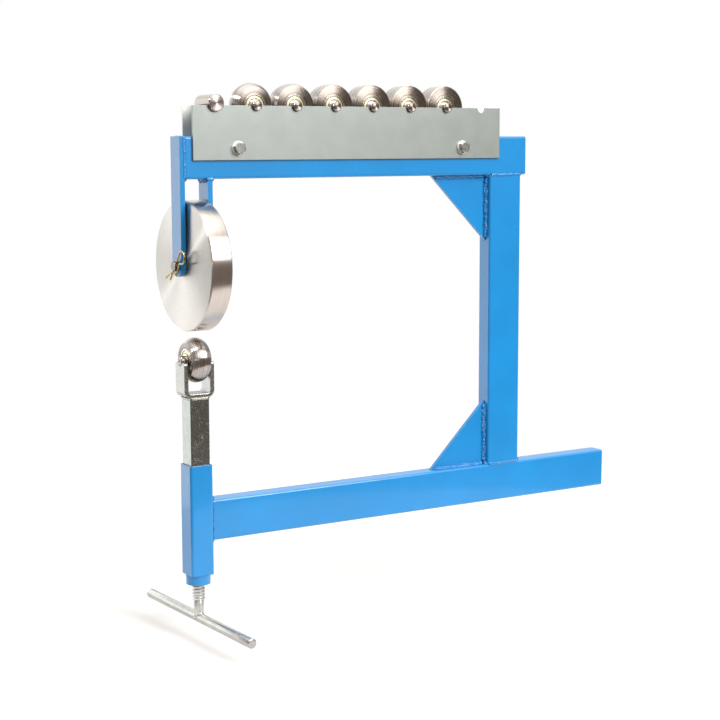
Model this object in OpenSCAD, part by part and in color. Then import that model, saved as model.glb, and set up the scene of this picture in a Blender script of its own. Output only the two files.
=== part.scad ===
// English wheel that is held in a bench vise: a welded C-frame of rectangular tube with a flat upper
// wheel in a fork, a crowned lower anvil on a square ram that a screw lifts, and a rack of spare anvils.
// Origin: on the bottom face of the lower rail, midway along the stretch that the vise jaws grip.
// +X runs back along the throat, +Y is the far side, +Z is up. Millimetres.

/* [Frame tube] */
// Width of the rectangular tube, across the frame
rail_w = 25; // [20:1:30]
// Height of the rectangular tube
rail_h = 50; // [44:1:56]
// Wall of the rectangular tube
rail_wall = 2.5; // [1.5:0.5:3]
// Outside corner radius of the tube
rail_corner = 3; // [2.6:0.1:4]
// Length of the lower rail
lower_rail_len = 607; // [560:1:660]
// Length of the upper rail
upper_rail_len = 497; // [485:1:520]
// Clear height between the two rails
throat_h = 385; // [360:1:400]
// From the ram's centre line to the front face of the rear post
throat_d = 425; // [400:1:440]
// From the sleeve's rear face back to the middle of the vise's grip
seat_x = 245; // [200:1:280]
// Leg of each triangular gusset
gusset_leg = 86; // [60:1:110]
// Thickness of each gusset
gusset_t = 5; // [3:0.5:8]

/* [Ram and screw] */
// Outside width of the square sleeve
sleeve_w = 30; // [30:1:34]
// Wall of the square sleeve
sleeve_wall = 2; // [1.5:0.1:2.1]
// Height of the sleeve's top above the lower rail's bottom face
sleeve_top = 94; // [80:1:110]
// Depth of the sleeve's bottom below the lower rail's bottom face
sleeve_drop = 41; // [30:1:50]
// Width of the square ram
ram_w = 25; // [22:0.5:25]
// Wall of the ram
ram_wall = 2.5; // [2:0.5:3]
// Height of the ram's bottom end at rest
ram_bottom = -10; // [-10:1:20]
// Outside diameter of the screw nut
nut_d = 30; // [26:1:34]
// Height of the screw nut below the sleeve
nut_h = 12; // [8:1:16]
// Outside diameter of the screw thread
screw_d = 16; // [14:1:18]
// Pitch of the screw thread
screw_pitch = 4; // [3:1:5]
// Diameter of the plain shank below the thread
shank_d = 12.5; // [10:0.5:13]
// Length of the handle bar
bar_len = 260; // [200:5:300]
// Diameter of the handle bar
bar_d = 12; // [10:0.5:14]
// Turn of the handle bar away from straight across the frame, degrees
bar_turn = 2.2; // [-10:0.1:10]

/* [Upper wheel] */
// Diameter of the upper wheel
wheel_d = 155; // [140:1:156]
// Width of the upper wheel
wheel_w = 27; // [24:0.5:27]
// Chamfer on the upper wheel's edges
wheel_chamfer = 1.5; // [0.5:0.1:2.5]
// Height of the upper wheel's axis
wheel_z = 333.2; // [330:0.1:340]
// Inside gap of the fork
fork_gap = 30; // [29:0.5:32]
// Thickness of the fork's flat bars
fork_t = 6; // [5:0.5:8]
// Width of the fork's flat bars
fork_w = 25; // [20:1:28]
// Diameter of the wheel pin
pin_d = 12; // [10:0.5:12]

/* [Anvils] */
// Diameter of an anvil at its crown
anvil_d = 54; // [48:0.5:54]
// Width of an anvil
anvil_w = 24; // [22:0.5:24]
// Diameter of an anvil's axle
axle_d = 12; // [12:1:12]
// Length of an anvil's axle
axle_len = 40; // [39:0.5:44]
// Height of the lower anvil's axis at rest
anvil_z = 220.4; // [216:0.1:222]
// Inside gap of the anvil yoke
yoke_gap = 29; // [28:0.5:30]
// Thickness of the yoke's strap
yoke_t = 5; // [4:0.5:6]
// Width of the yoke's strap
yoke_w = 24; // [20:1:25]
// Diameter of the plain roller
roller_d = 20; // [16:1:22]

/* [Rack] */
// Length of each rack plate
rack_len = 442; // [430:1:460]
// Height of each rack plate
rack_h = 64; // [60:1:70]
// Thickness of each rack plate
rack_t = 3; // [2:0.5:4]
// Height of the plates above the upper rail
rack_rise = 36; // [34:1:40]
// Spacing of the notches
notch_pitch = 54.8; // [54.6:0.1:56]
// Distance of each bolt from the middle of the plates
bolt_x = 162; // [140:1:175]

/* [Hidden] */
$fn = 96;
gap = 0.1;                                   // running clearance on a radius
tool_x = -seat_x - sleeve_w / 2;             // plane of the wheel, the anvil and the ram
sleeve_inner = sleeve_w - 2 * sleeve_wall;
upper_z = rail_h + throat_h;                 // bottom of the upper rail
frame_top = upper_z + rail_h;
upper_x = tool_x - fork_gap / 2;             // front end of the upper rail
post_x = tool_x + throat_d;
lower_end_x = -seat_x + lower_rail_len;
upper_end_x = upper_x + upper_rail_len;
fork_round = fork_w / 2;
sleeve_corner = 3;
ram_corner = 1.5;
spigot_h = 10;                               // part of the nut that stands inside the sleeve
nut_bottom = -sleeve_drop - nut_h;
yoke_out = yoke_gap + 2 * yoke_t;
yoke_bend = 9;                               // outside radius of the yoke's bends
slot_drop = 1.7;                             // the axle slots are this much under half round
yoke_drop = 44.4;                            // from the anvil's axis down to the yoke's underside
yoke_top = anvil_z - slot_drop;
yoke_bottom = anvil_z - yoke_drop;
yoke_tip_r = 3;
plug_h = 14;                                 // thrust plug in the ram's bottom end
tip_d = 12;                                  // turned tip of the screw, in the plug's socket
tip_h = 7;
thread_shown = 20;                           // thread below the nut at rest
bar_drop = 43;                               // from the nut down to the handle bar's axis
thread_bottom = nut_bottom - thread_shown;
thread_depth = 2;
bar_z = nut_bottom - bar_drop;
pin_r = pin_d / 2;
pin_head_r = 9;
pin_head_t = 4;
pin_stands_out = 5.3;                        // length of the pin in front of the fork
pin_end_x = upper_x - fork_t - pin_stands_out;
clip_inset = 2.6;                            // from the pin's end to the clip's hole
clip_x = pin_end_x + clip_inset;
clip_wire = 2.2;
clip_hole = 2.6;
clip_angle = 51;                             // slope of the clip, up towards its loop
clip_sides = 8;
wheel_bearing = [12, 24, 6];                 // bore, outside diameter, width
anvil_bearing = [12, 28, 8];
race_t = 2;                                  // wall of the outer race
inner_race_r = 8.3;
shield_t = 0.6;
shield_inset = 0.5;
hub_r = 10;                                  // bore between the two bearings of a wheel
rack_inset = 10;                             // from the upper rail's front end to the plates
rack_x = upper_x + rack_inset + rack_len / 2; // middle of the rack plates
rack_top = frame_top + rack_rise;
stations = 8;                                // notches, the first one wide, the last one empty
spare_anvils = 6;
notch_r = axle_d / 2 + 0.3;
roller_rise = 2.7;                           // roller's axis above the plates' top edge
bolt_rise = 14;                              // of the bolts above the plates' bottom edge
bolt_z = rack_top - rack_h + bolt_rise;
bolt_end = 3;                                // thread that shows past the nut
bolt_r = 4;
bolt_hole_r = 4.4;
hex_corner_r = 7.5;
bolt_head_h = 5.3;
bolt_nut_h = 6.5;
washer_r = 8.5;
washer_t = 1.6;
rack_out = rail_w / 2 + rack_t;              // outer face of a rack plate
edge = 0.5;                                  // small turned chamfer
flat = 0;                                    // crown radius that means a straight rim
lower_crown = 15;
spare_crowns = [17, 37, 75, 150, 300, flat]; // from the tightest crown to a straight rim
blue = "dodgerblue";

// Route of the clip's wire: towards the loop, away from the straight leg, and out in front of it
clip_loop_r = 7.5;
clip_loop = [20.6, clip_loop_r, 0];
clip_route = concat(
    [[-22, 0, 0], [-12, 0, 0], [0, 0, 0], [12, 0, 0]],
    [for (a = [-90 : 20 : 130]) clip_loop + clip_loop_r * [cos(a), sin(a), 0]],
    [[13.2, 10, 0], [11, 7.9, 0], [8, 7.2, 0], [4, 7.7, 0], [0, 8.3, 0], [-3, 7.8, 0.3], [-6.5, 5, 1.2],
     [-9.6, 1.4, 2.5], [-13, -1.8, 2.6], [-19, -4.6, 2.4], [-25, -6.9, 2.2]]);

// ---------- shapes that repeat ----------

// Rectangle with round corners, centred
module round_rect(w, h, r) {
    square([w - 2 * r, h], center = true);
    square([w, h - 2 * r], center = true);
    for (x = [-1, 1], y = [-1, 1])
        translate([x * (w / 2 - r), y * (h / 2 - r)]) circle(r);
}

// Section of a rectangular tube
module tube_section(w, h, wall, r) {
    difference() {
        round_rect(w, h, r);
        round_rect(w - 2 * wall, h - 2 * wall, r - wall);
    }
}

// Runs a section along +X: its first axis lies along Y and its second along Z
module along_x(length) {
    rotate([90, 0, 90]) linear_extrude(length) children();
}

// Runs a section in the XZ plane across the frame, centred on the middle plane
module across(width) {
    translate([0, width / 2, 0]) rotate([90, 0, 0]) linear_extrude(width) children();
}

// Turns what stands about +Z so that it lies about +X
module about_x() {
    rotate([0, 90, 0]) children();
}

// Turns what stands about +Z so that it lies about +Y
module about_y() {
    rotate([-90, 0, 0]) children();
}

// Round rod about +Z, centred, with a small chamfer at both ends
module rod(d, length, c = edge) {
    rotate_extrude() polygon([[0, -length / 2], [d / 2 - c, -length / 2], [d / 2, -length / 2 + c],
                              [d / 2, length / 2 - c], [d / 2 - c, length / 2], [0, length / 2]]);
}

// Flat ring about +Z
module ring(r_out, r_in, h) {
    difference() {
        cylinder(r = r_out, h = h);
        translate([0, 0, -1]) cylinder(r = r_in, h = h + 2);
    }
}

// Outer races of the two bearings at the faces of a hub of width w, each with its two shields
module outer_races(bearing, w) {
    r_out = bearing[1] / 2;
    for (s = [-1, 1])
        translate([0, 0, s * (w - bearing[2]) / 2 - bearing[2] / 2]) {
            ring(r_out, r_out - race_t, bearing[2]);
            for (z = [shield_inset, bearing[2] - shield_inset - shield_t])
                translate([0, 0, z]) ring(r_out - race_t, inner_race_r + 0.2, shield_t);
        }
}

// Inner races of the same two bearings
module inner_races(bearing, w) {
    for (s = [-1, 1])
        translate([0, 0, s * (w - bearing[2]) / 2 - bearing[2] / 2])
            ring(inner_race_r, bearing[0] / 2, bearing[2]);
}

// What is cut from a wheel of width w about +Z: the bore and a pocket for a bearing in each face
module hub_bore(bearing, w) {
    cylinder(r = hub_r, h = w + 2, center = true);
    for (s = [-1, 1])
        translate([0, 0, s * (w - bearing[2] + 1) / 2])
            cylinder(r = bearing[1] / 2, h = bearing[2] + 1, center = true);
}

// Half section of a straight disc with chamfered edges
module disc_section(r, w, c) {
    polygon([[0, -w / 2], [r - c, -w / 2], [r, -w / 2 + c], [r, w / 2 - c], [r - c, w / 2], [0, w / 2]]);
}

// Anvil about +Z with a crown of radius r across its rim; r = 0 gives a straight rim
module anvil_body(r) {
    radius = anvil_d / 2;
    difference() {
        rotate_extrude() {
            if (r > 0) intersection() {
                translate([0, -anvil_w / 2]) square([radius, anvil_w]);
                union() {
                    translate([radius - r, 0]) circle(r, $fn = 96 + 8 * r);
                    translate([0, -anvil_w / 2]) square([max(radius - r, 1), anvil_w]);
                }
            }
            else disc_section(radius, anvil_w, edge);
        }
        hub_bore(anvil_bearing, anvil_w);
    }
}

// ---------- frame ----------

module lower_rail() {
    color(blue) translate([-seat_x, 0, rail_h / 2])
        along_x(lower_rail_len) tube_section(rail_w, rail_h, rail_wall, rail_corner);
}

module end_cap(x, z) {
    translate([x - rail_wall, 0, z])
        along_x(rail_wall) round_rect(rail_w - 2 * rail_wall, rail_h - 2 * rail_wall, rail_corner - rail_wall);
}

module lower_rail_cap() {
    color(blue) end_cap(lower_end_x, rail_h / 2);
}

module upper_rail_cap() {
    color(blue) end_cap(upper_end_x, upper_z + rail_h / 2);
}

module rear_post() {
    color(blue) translate([post_x + rail_h / 2, 0, rail_h])
        linear_extrude(throat_h) tube_section(rail_h, rail_w, rail_wall, rail_corner);
}

module upper_rail() {
    color(blue) difference() {
        translate([upper_x, 0, upper_z + rail_h / 2])
            along_x(upper_rail_len) tube_section(rail_w, rail_h, rail_wall, rail_corner);
        bolt_places() about_y() cylinder(r = bolt_hole_r, h = rail_w + 2, center = true);
    }
}

// Gusset in the corner at z, its second leg running up (s = 1) or down (s = -1) the post
module gusset(z, s) {
    across(gusset_t) polygon([[post_x, z], [post_x - gusset_leg, z], [post_x, z + s * gusset_leg]]);
}

module upper_gusset() {
    color(blue) gusset(upper_z, -1);
}

module lower_gusset() {
    color(blue) gusset(rail_h, 1);
}

module ram_sleeve() {
    color(blue) translate([tool_x, 0, -sleeve_drop])
        linear_extrude(sleeve_top + sleeve_drop) tube_section(sleeve_w, sleeve_w, sleeve_wall, sleeve_corner);
}

// The thread inside the nut is a plain running bore
module screw_nut() {
    color(blue) translate([tool_x, 0, nut_bottom]) difference() {
        union() {
            cylinder(d = nut_d, h = nut_h);
            cylinder(d = sleeve_inner - 2 * gap, h = nut_h + spigot_h);
        }
        translate([0, 0, -1]) cylinder(r = screw_d / 2 + gap, h = nut_h + spigot_h + 2);
    }
}

// Flat bar of the fork from the wheel pin up to z_top; x is its front face
module fork_leg(x, z_top) {
    translate([x, 0, 0]) difference() {
        union() {
            translate([0, -fork_w / 2, wheel_z]) cube([fork_t, fork_w, z_top - wheel_z]);
            translate([0, 0, wheel_z]) about_x() cylinder(r = fork_round, h = fork_t);
        }
        translate([-1, 0, wheel_z]) about_x() cylinder(r = pin_r + gap / 2, h = fork_t + 2);
    }
}

module fork_front_leg() {
    color(blue) fork_leg(upper_x - fork_t, frame_top);
}

module fork_rear_leg() {
    color(blue) fork_leg(upper_x + fork_gap, upper_z);
}

// ---------- upper wheel ----------

module wheel_pin() {
    length = upper_x + fork_gap + fork_t - pin_end_x;
    color("silver") translate([pin_end_x, 0, wheel_z]) difference() {
        about_x() union() {
            translate([0, 0, length / 2]) rod(pin_d, length);
            translate([0, 0, length]) cylinder(r = pin_head_r, h = pin_head_t);
        }
        translate([clip_x - pin_end_x, 0, 0]) rotate([90 - clip_angle, 0, 0])
            cylinder(d = clip_hole, h = 2 * pin_d, center = true);
    }
}

function clip_point(p) = [clip_x - p[2], -p[0] * cos(clip_angle) - p[1] * sin(clip_angle),
                          wheel_z + p[0] * sin(clip_angle) - p[1] * cos(clip_angle)];
function route_dir(pts, i) =
    let (a = pts[max(i - 1, 0)], b = pts[min(i + 1, len(pts) - 1)]) (b - a) / norm(b - a);

// Round wire along a route that lies nearly in a plane x = constant
module wire(pts, d) {
    n = len(pts);
    m = clip_sides;
    rings = [for (i = [0 : n - 1], k = [0 : m - 1])
        let (t = route_dir(pts, i), side = [0, -t[2], t[1]], a = 360 * k / m)
        pts[i] + d / 2 * (cos(a) * side + sin(a) * [1, 0, 0])];
    sides = [for (i = [0 : n - 2], k = [0 : m - 1])
        let (a = i * m + k, b = i * m + (k + 1) % m) [b, a, a + m, b + m]];
    ends = [[for (k = [0 : m - 1]) k], [for (k = [m - 1 : -1 : 0]) (n - 1) * m + k]];
    polyhedron(rings, concat(sides, ends));
}

module hairpin_clip() {
    color("gold") wire([for (p = clip_route) clip_point(p)], clip_wire);
}

module wheel_washers() {
    t = (fork_gap - wheel_w) / 2;
    color("silver") for (x = [upper_x, upper_x + fork_gap - t])
        translate([x, 0, wheel_z]) about_x() ring(inner_race_r, pin_r + gap / 2, t);
}

module upper_wheel() {
    color("gainsboro") translate([tool_x, 0, wheel_z]) about_x() difference() {
        rotate_extrude() disc_section(wheel_d / 2, wheel_w, wheel_chamfer);
        hub_bore(wheel_bearing, wheel_w);
    }
}

module upper_wheel_outer_races() {
    color("silver") translate([tool_x, 0, wheel_z]) about_x() outer_races(wheel_bearing, wheel_w);
}

module upper_wheel_inner_races() {
    color("silver") translate([tool_x, 0, wheel_z]) about_x() inner_races(wheel_bearing, wheel_w);
}

// ---------- ram, screw and lower anvil ----------

module ram_tube() {
    color("silver") translate([tool_x, 0, ram_bottom])
        linear_extrude(yoke_bottom - ram_bottom) tube_section(ram_w, ram_w, ram_wall, ram_corner);
}

// Solid plug in the ram's bottom end, with a socket that the screw's tip turns in
module ram_thrust_plug() {
    color("silver") translate([tool_x, 0, ram_bottom]) difference() {
        linear_extrude(plug_h) square(ram_w - 2 * ram_wall, center = true);
        translate([0, 0, -1]) cylinder(r = tip_d / 2 + gap, h = tip_h + 1);
    }
}

// Strap bent to a U, seen along Y, with its floor at 0
module yoke_section(height) {
    difference() {
        translate([0, height]) round_rect(yoke_out, 2 * height, yoke_bend);
        translate([0, height + yoke_t]) round_rect(yoke_gap, 2 * height, yoke_bend - yoke_t);
        translate([-yoke_out, height]) square([2 * yoke_out, 2 * height]);
    }
}

// Strap seen along X, with round tips
module strap_face(height) {
    translate([-yoke_w / 2, -1]) square([yoke_w, height - yoke_tip_r + 1]);
    translate([-yoke_w / 2 + yoke_tip_r, 0]) square([yoke_w - 2 * yoke_tip_r, height]);
    for (s = [-1, 1])
        translate([s * (yoke_w / 2 - yoke_tip_r), height - yoke_tip_r]) circle(yoke_tip_r);
}

module anvil_yoke() {
    height = yoke_top - yoke_bottom;
    color("gainsboro") translate([tool_x, 0, yoke_bottom]) difference() {
        intersection() {
            across(yoke_w) yoke_section(height);
            translate([-yoke_out, 0, 0]) along_x(2 * yoke_out) strap_face(height);
        }
        translate([0, 0, anvil_z - yoke_bottom]) about_x()
            cylinder(r = axle_d / 2 + gap, h = 2 * yoke_out, center = true);
    }
}

// Screw with a thread of plain grooves, a turned tip and a shank coped over the handle bar
module jack_screw() {
    r = screw_d / 2;
    root = r - thread_depth;
    top = ram_bottom - 1;
    turns = floor((top - thread_bottom) / screw_pitch);
    color("silver") translate([tool_x, 0, 0]) difference() {
        union() {
            rotate_extrude() polygon(concat(
                [[0, thread_bottom], [root, thread_bottom]],
                [for (i = [0 : turns - 1], p = [[0.1, root], [0.35, r], [0.65, r], [0.9, root]])
                    [p[1], thread_bottom + (i + p[0]) * screw_pitch]],
                [[root, top], [tip_d / 2, top], [tip_d / 2, ram_bottom + tip_h], [0, ram_bottom + tip_h]]));
            translate([0, 0, bar_z]) cylinder(d = shank_d, h = thread_bottom - bar_z + 1);
        }
        handle_place() rod(bar_d, bar_len);
    }
}

module handle_place() {
    translate([0, 0, bar_z]) rotate([0, 0, bar_turn]) about_y() children();
}

module handle_bar() {
    color("silver") translate([tool_x, 0, 0]) handle_place() rod(bar_d, bar_len);
}

module at_lower_anvil() {
    translate([tool_x, 0, anvil_z]) about_x() children();
}

module lower_anvil() {
    color("gainsboro") at_lower_anvil() anvil_body(lower_crown);
}

module lower_anvil_outer_races() {
    color("khaki") at_lower_anvil() outer_races(anvil_bearing, anvil_w);
}

module lower_anvil_inner_races() {
    color("silver") at_lower_anvil() inner_races(anvil_bearing, anvil_w);
}

module lower_anvil_axle() {
    color("silver") at_lower_anvil() rod(axle_d, axle_len, 1);
}

// ---------- rack ----------

function station_x(i) = rack_x + (i - (stations - 1) / 2) * notch_pitch;

module bolt_places() {
    for (s = [-1, 1]) translate([rack_x + s * bolt_x, 0, bolt_z]) children();
}

// Plate with its near face at y
module rack_plate(y) {
    difference() {
        translate([rack_x - rack_len / 2, y, rack_top - rack_h]) cube([rack_len, rack_t, rack_h]);
        translate([station_x(0), 0, rack_top + roller_rise]) about_y()
            cylinder(r = roller_d / 2 + gap, h = 4 * rail_w, center = true);
        for (i = [1 : stations - 1])
            translate([station_x(i), 0, rack_top]) about_y() cylinder(r = notch_r, h = 4 * rail_w, center = true);
        bolt_places() about_y() cylinder(r = bolt_hole_r, h = 4 * rail_w, center = true);
    }
}

module rack_front_plate() {
    color("lightgray") rack_plate(-rack_out);
}

module rack_back_plate() {
    color("lightgray") rack_plate(rack_out - rack_t);
}

module rack_bolts() {
    length = 2 * rack_out + 2 * washer_t + bolt_nut_h + bolt_end;
    color("silver") bolt_places() translate([0, -rack_out - washer_t, 0]) about_y() {
        cylinder(r = bolt_r, h = length);
        translate([0, 0, -bolt_head_h]) cylinder(r = hex_corner_r, h = bolt_head_h, $fn = 6);
    }
}

module rack_washers() {
    color("silver") bolt_places() for (y = [-rack_out - washer_t, rack_out])
        translate([0, y, 0]) about_y() ring(washer_r, bolt_hole_r, washer_t);
}

module rack_nuts() {
    color("silver") bolt_places() translate([0, rack_out + washer_t, 0]) about_y() difference() {
        cylinder(r = hex_corner_r, h = bolt_nut_h, $fn = 6);
        translate([0, 0, -1]) cylinder(r = bolt_r, h = bolt_nut_h + 2);
    }
}

module plain_roller() {
    color("gainsboro") translate([station_x(0), 0, rack_top + roller_rise]) about_y()
        rod(roller_d, axle_len, 1);
}

module at_station(i) {
    translate([station_x(i), 0, rack_top]) about_y() children();
}

module spare_anvil(i) {
    color("gainsboro") at_station(i) anvil_body(spare_crowns[i - 1]);
}

module spare_outer_races(i) {
    color("khaki") at_station(i) outer_races(anvil_bearing, anvil_w);
}

module spare_inner_races(i) {
    color("silver") at_station(i) inner_races(anvil_bearing, anvil_w);
}

module spare_axle(i) {
    color("silver") at_station(i) rod(axle_d, axle_len, 1);
}

// ---------- nodes ----------

lower_rail();
lower_rail_cap();
rear_post();
upper_rail();
upper_rail_cap();
upper_gusset();
lower_gusset();
ram_sleeve();
screw_nut();
fork_front_leg();
fork_rear_leg();
rack_front_plate();
rack_back_plate();
rack_bolts();
rack_washers();
rack_nuts();
wheel_pin();
hairpin_clip();
wheel_washers();
upper_wheel();
upper_wheel_outer_races();
upper_wheel_inner_races();
ram_tube();
ram_thrust_plug();
anvil_yoke();
jack_screw();
handle_bar();
lower_anvil();
lower_anvil_outer_races();
lower_anvil_inner_races();
lower_anvil_axle();
plain_roller();
for (i = [1 : spare_anvils]) {
    spare_anvil(i);
    spare_outer_races(i);
    spare_inner_races(i);
    spare_axle(i);
}
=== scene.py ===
"""Looks of a vise-mounted English wheel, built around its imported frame.

The frame gives every size and place. Each sub-assembly is a class that builds its own detailed meshes,
dresses the CAD nodes it owns, and reports what it did. Fields and profiles are in millimetres, and what
the frame gives is in metres.
"""

import logging
import math
from dataclasses import dataclass, field
from enum import Enum
from typing import Any, Callable, Iterable, Sequence

import bpy
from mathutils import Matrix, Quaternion, Vector, noise


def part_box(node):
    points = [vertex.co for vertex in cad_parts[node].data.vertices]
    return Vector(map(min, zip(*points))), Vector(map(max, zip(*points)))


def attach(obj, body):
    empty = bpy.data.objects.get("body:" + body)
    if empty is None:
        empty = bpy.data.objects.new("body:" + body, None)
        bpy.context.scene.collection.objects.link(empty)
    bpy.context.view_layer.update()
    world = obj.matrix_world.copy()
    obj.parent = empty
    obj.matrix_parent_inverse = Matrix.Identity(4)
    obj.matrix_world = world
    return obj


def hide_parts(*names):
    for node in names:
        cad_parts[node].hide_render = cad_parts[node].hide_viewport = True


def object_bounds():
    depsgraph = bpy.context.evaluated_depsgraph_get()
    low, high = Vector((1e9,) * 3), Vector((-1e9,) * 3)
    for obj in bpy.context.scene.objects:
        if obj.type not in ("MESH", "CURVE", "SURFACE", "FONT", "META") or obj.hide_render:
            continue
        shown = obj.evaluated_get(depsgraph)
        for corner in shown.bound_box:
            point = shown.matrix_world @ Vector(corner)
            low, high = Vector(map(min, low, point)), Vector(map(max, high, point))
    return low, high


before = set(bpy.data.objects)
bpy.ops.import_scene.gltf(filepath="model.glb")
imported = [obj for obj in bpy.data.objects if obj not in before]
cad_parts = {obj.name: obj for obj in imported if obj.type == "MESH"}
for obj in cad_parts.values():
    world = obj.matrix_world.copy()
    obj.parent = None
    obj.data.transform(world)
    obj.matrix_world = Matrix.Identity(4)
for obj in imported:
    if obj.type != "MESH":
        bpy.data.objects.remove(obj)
CAD_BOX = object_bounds()

MM = 0.001
log = logging.getLogger("english_wheel")

Point = tuple[float, float, float]
Profile = list[tuple[float, float]]
Ring = list[Vector]
Mesh = tuple[list[Vector], list[list[int]]]
Tree = bpy.types.NodeTree
Socket = bpy.types.NodeSocket
Inputs = dict[Any, Any]

# Directions of the frame: back along the rails, across them, and up
BACK = Vector((1, 0, 0))
ACROSS = Vector((0, 1, 0))
UP = Vector((0, 0, 1))
# Low and high side of a box
SIDES = (-1, 1)


class Axis(Enum):
    """Direction that a turned piece's centre line runs in."""

    X = "X"
    Y = "Y"
    Z = "Z"

    def place(self, along: float, u: float, v: float) -> Vector:
        """Turns a length along the centre line and two across it into a vector.

        Args:
            along: Distance along the centre line.
            u: Distance along the first direction across it.
            v: Distance along the second direction across it.

        Returns:
            The same offset in the frame's axes.
        """
        if self is Axis.X:
            return Vector((along, u, v))
        if self is Axis.Y:
            return Vector((v, along, u))
        return Vector((u, v, along))

    def part(self, vector: Vector) -> float:
        """Picks a vector's part along the centre line."""
        return vector["XYZ".index(self.value)]


@dataclass(frozen=True)
class Box:
    """Box round a CAD node, in metres."""

    low: Vector
    high: Vector

    @classmethod
    def of(cls, node: str) -> "Box":
        """Gives a CAD node's box."""
        low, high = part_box(node)
        return cls(Vector(low), Vector(high))

    @property
    def centre(self) -> Vector:
        """Middle of the box."""
        return (self.low + self.high) / 2

    @property
    def size(self) -> Vector:
        """Size of the box."""
        return self.high - self.low

    def corner(self, side: int) -> Vector:
        """Gives the high corner for side 1, and the low corner for side -1."""
        return self.high if side > 0 else self.low


# ---------------------------------------------------------------- node and colour helpers


def hex_colour(code: str) -> tuple[float, float, float, float]:
    """Turns an sRGB hex code into the linear colour that shaders take.

    Args:
        code: Six hex digits.

    Returns:
        Linear red, green and blue, and full opacity.
    """
    channels = [int(code[i:i + 2], 16) / 255 for i in (0, 2, 4)]
    linear = [c / 12.92 if c <= 0.04045 else ((c + 0.055) / 1.055) ** 2.4 for c in channels]
    return (linear[0], linear[1], linear[2], 1.0)


def feed(tree: Tree, node: bpy.types.Node, inputs: Inputs) -> None:
    """Sets or links the inputs of a node.

    Args:
        tree: Tree that the node is in.
        node: The node.
        inputs: Socket name or index, and the value or the output socket that feeds it.
    """
    for key, value in inputs.items():
        if isinstance(value, bpy.types.NodeSocket):
            tree.links.new(value, node.inputs[key])
        else:
            node.inputs[key].default_value = value


def add_node(tree: Tree, kind: str, inputs: Inputs | None = None, **settings: Any) -> bpy.types.Node:
    """Adds a node with its settings and links.

    Args:
        tree: Tree that the node joins.
        kind: Node type.
        inputs: Socket name or index, and the value or the output socket that feeds it.
        **settings: Properties of the node itself.

    Returns:
        The new node.
    """
    node = tree.nodes.new(kind)
    for name, value in settings.items():
        setattr(node, name, value)
    feed(tree, node, inputs or {})
    return node


def maths(tree: Tree, operation: str, *values: float | Socket) -> Socket:
    """Gives the result of one sum on values or sockets."""
    return add_node(tree, "ShaderNodeMath", dict(enumerate(values)), operation=operation).outputs[0]


def remap(tree: Tree, value: Socket, before: tuple[float, float] = (0.0, 1.0),
          after: tuple[float, float] = (0.0, 1.0), curve: str = "LINEAR") -> Socket:
    """Maps one range of a value onto another, and holds it at both ends.

    Args:
        tree: Tree that the node joins.
        value: The value.
        before: Two places in its own range.
        after: What they become.
        curve: How it runs from one to the other.

    Returns:
        The mapped value.
    """
    inputs = {"Value": value, "From Min": before[0], "From Max": before[1], "To Min": after[0],
              "To Max": after[1]}
    return add_node(tree, "ShaderNodeMapRange", inputs, interpolation_type=curve).outputs[0]


def mix(tree: Tree, factor: Socket, low: Any, high: Any, colour: bool = False) -> Socket:
    """Mixes two numbers or two colours.

    Args:
        tree: Tree that the node joins.
        factor: Share of the second one.
        low: First value or socket.
        high: Second value or socket.
        colour: True for colours.

    Returns:
        The mix.
    """
    # The node keeps its colour sockets after its plain ones
    first, result, kind = (6, 2, "RGBA") if colour else (2, 0, "FLOAT")
    inputs = {"Factor": factor, first: low, first + 1: high}
    return add_node(tree, "ShaderNodeMix", inputs, data_type=kind).outputs[result]


def per_mm(size: float) -> float:
    """Gives the texture scale at which one feature of a pattern is size millimetres long."""
    return 1 / (size * MM)


def pattern(tree: Tree, size: float, detail: float, stretch: Point = (1.0, 1.0, 1.0)) -> Socket:
    """Makes noise of a real size.

    Args:
        tree: Tree that the nodes join.
        size: Length of one feature in millimetres.
        detail: How ragged it is.
        stretch: Scale along each axis; a small one draws the features out.

    Returns:
        The noise.
    """
    place = add_node(tree, "ShaderNodeTexCoord").outputs["Object"]
    if stretch != (1.0, 1.0, 1.0):
        place = add_node(tree, "ShaderNodeMapping", {"Vector": place, "Scale": stretch}).outputs["Vector"]
    inputs = {"Vector": place, "Scale": per_mm(size), "Detail": detail}
    return add_node(tree, "ShaderNodeTexNoise", inputs).outputs["Fac"]


def blotches(tree: Tree, size: float, light: str, dark: str, detail: float) -> Socket:
    """Makes a soft colour variation.

    Args:
        tree: The material's node tree.
        size: Size of one blotch in millimetres.
        light: Hex colour of the light parts.
        dark: Hex colour of the dark parts.
        detail: How ragged the blotches are.

    Returns:
        The colour socket.
    """
    ramp = add_node(tree, "ShaderNodeValToRGB", {"Fac": pattern(tree, size, detail)})
    for stop, position, code in zip(ramp.color_ramp.elements, (0.35, 0.65), (dark, light)):
        stop.position = position
        stop.color = hex_colour(code)
    return ramp.outputs["Color"]


def shaded(tree: Tree, colour: Any, value: Socket) -> Socket:
    """Gives a colour made lighter and darker by a value around 1."""
    return add_node(tree, "ShaderNodeHueSaturation", {"Color": colour, "Value": value}).outputs["Color"]


def rounded(tree: Tree, radius: float) -> Socket:
    """Gives a normal that softens edges by a radius in millimetres."""
    return add_node(tree, "ShaderNodeBevel", {"Radius": radius * MM}, samples=6).outputs["Normal"]


def bumped(tree: Tree, height: Socket, depth: float, normal: Socket | None = None) -> Socket:
    """Gives a normal bumped by a height.

    Args:
        tree: The material's node tree.
        height: Height between 0 and 1.
        depth: Depth that 1 stands for, in millimetres.
        normal: Normal to start from.

    Returns:
        The normal socket.
    """
    inputs = {"Height": height, "Strength": 1.0, "Distance": depth * MM}
    if normal is not None:
        inputs["Normal"] = normal
    return add_node(tree, "ShaderNodeBump", inputs).outputs["Normal"]


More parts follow.
